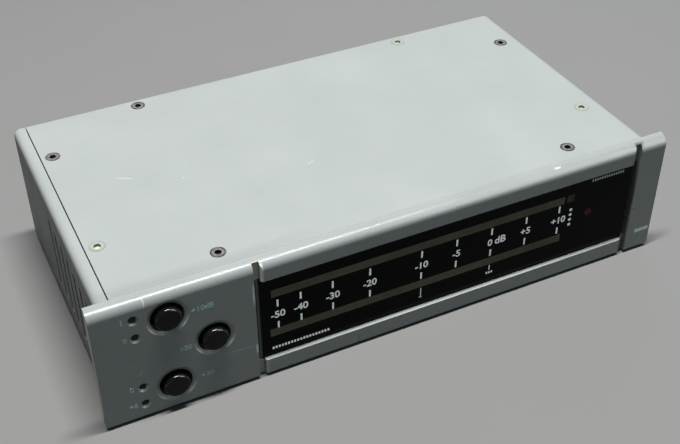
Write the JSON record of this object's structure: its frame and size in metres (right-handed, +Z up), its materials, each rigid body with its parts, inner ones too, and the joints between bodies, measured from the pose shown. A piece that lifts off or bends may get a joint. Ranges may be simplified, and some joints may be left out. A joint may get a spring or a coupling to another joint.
{
  "type": "led peak meter",
  "caption": "Flat case with a long dark window for bar-graph level displays, round push buttons and small indicator lamps on its front panel.",
  "frame": {"origin": "middle of the part's outline on the surface it stands on", "axes": "+X along the front panel to the right, +Y from the front panel to the rear, +Z up"},
  "size_m": [0.19, 0.1036, 0.0436],
  "materials": {
    "panel_paint": "satin blue-grey paint on aluminium",
    "case_paint": "satin blue-grey paint on aluminium sheet, lightly scratched",
    "window_acrylic": "smoked acrylic, polished",
    "mask_black": "black film",
    "bar_housing": "dark moulded housing with pale segments",
    "lamp_red": "diffused lamp, unlit",
    "board_green": "solder-masked glass fibre board",
    "button_black": "black moulded plastic, worn smooth",
    "plunger_nylon": "natural nylon",
    "switch_black": "moulded switch housing",
    "lamp_amber": "tinted clear lamp, unlit",
    "lamp_clear": "water-clear lamp, unlit",
    "spacer_black": "nylon spacer",
    "pillar_nickel": "nickel-plated steel",
    "screw_black": "black oxide steel",
    "screw_zinc": "yellow-passivated zinc plating",
    "standoff_brass": "turned brass",
    "board_screw": "zinc plating",
    "header_black": "moulded header",
    "can_metal": "drawn shielding can",
    "capacitor_sleeve": "shrink sleeve",
    "chip_black": "moulded epoxy",
    "trimmer_blue": "moulded trimmer",
    "sink_black": "black anodised extrusion",
    "connector_tin": "tinned steel",
    "insert_black": "moulded contact insert"
  },
  "bodies": {
    "case": {"front_panel": "panel_paint", "display_window": "window_acrylic", "light_mask": "mask_black", "upper_bargraph": "bar_housing", "lower_bargraph": "bar_housing", "over_lamp": "lamp_red", "front_board": "board_green", "front_board_screw": "board_screw", "upper_switch": "switch_black", "middle_switch": "switch_black", "lower_switch": "switch_black", "amber_indicator": "lamp_amber", "clear_indicators": "lamp_clear", "indicator_spacers": "spacer_black", "upper_shell": "case_paint", "lower_shell": "case_paint", "rear_panel": "panel_paint", "shell_pillars": "pillar_nickel", "black_cover_screws": "screw_black", "bright_cover_screws": "screw_zinc", "base_screws": "screw_black", "standoff_screws": "screw_black", "main_board": "board_green", "board_standoffs": "standoff_brass", "board_screws": "board_screw", "link_header": "header_black", "input_transformers": "can_metal", "filter_capacitors": "capacitor_sleeve", "ic_packages": "chip_black", "trimmers": "trimmer_blue", "voltage_regulators": "chip_black", "heat_sink": "sink_black", "connector_shell": "connector_tin", "connector_insert": "insert_black", "jackscrews": "pillar_nickel"},
    "upper_button": {"upper_button_cap": "button_black", "upper_plunger": "plunger_nylon"},
    "middle_button": {"middle_button_cap": "button_black", "middle_plunger": "plunger_nylon"},
    "lower_button": {"lower_button_cap": "button_black", "lower_plunger": "plunger_nylon"}
  },
  "joints": [
    {"name": "upper_button_press", "type": "slide", "parent": "case", "child": "upper_button", "axis": [0, 1, 0], "range_m": [0, 0.001], "stiffness_N_per_m": 1500, "springref_m": -0.0004},
    {"name": "middle_button_press", "type": "slide", "parent": "case", "child": "middle_button", "axis": [0, 1, 0], "range_m": [0, 0.001], "stiffness_N_per_m": 1500, "springref_m": -0.0004},
    {"name": "lower_button_press", "type": "slide", "parent": "case", "child": "lower_button", "axis": [0, 1, 0], "range_m": [0, 0.001], "stiffness_N_per_m": 1500, "springref_m": -0.0004}
  ]
}
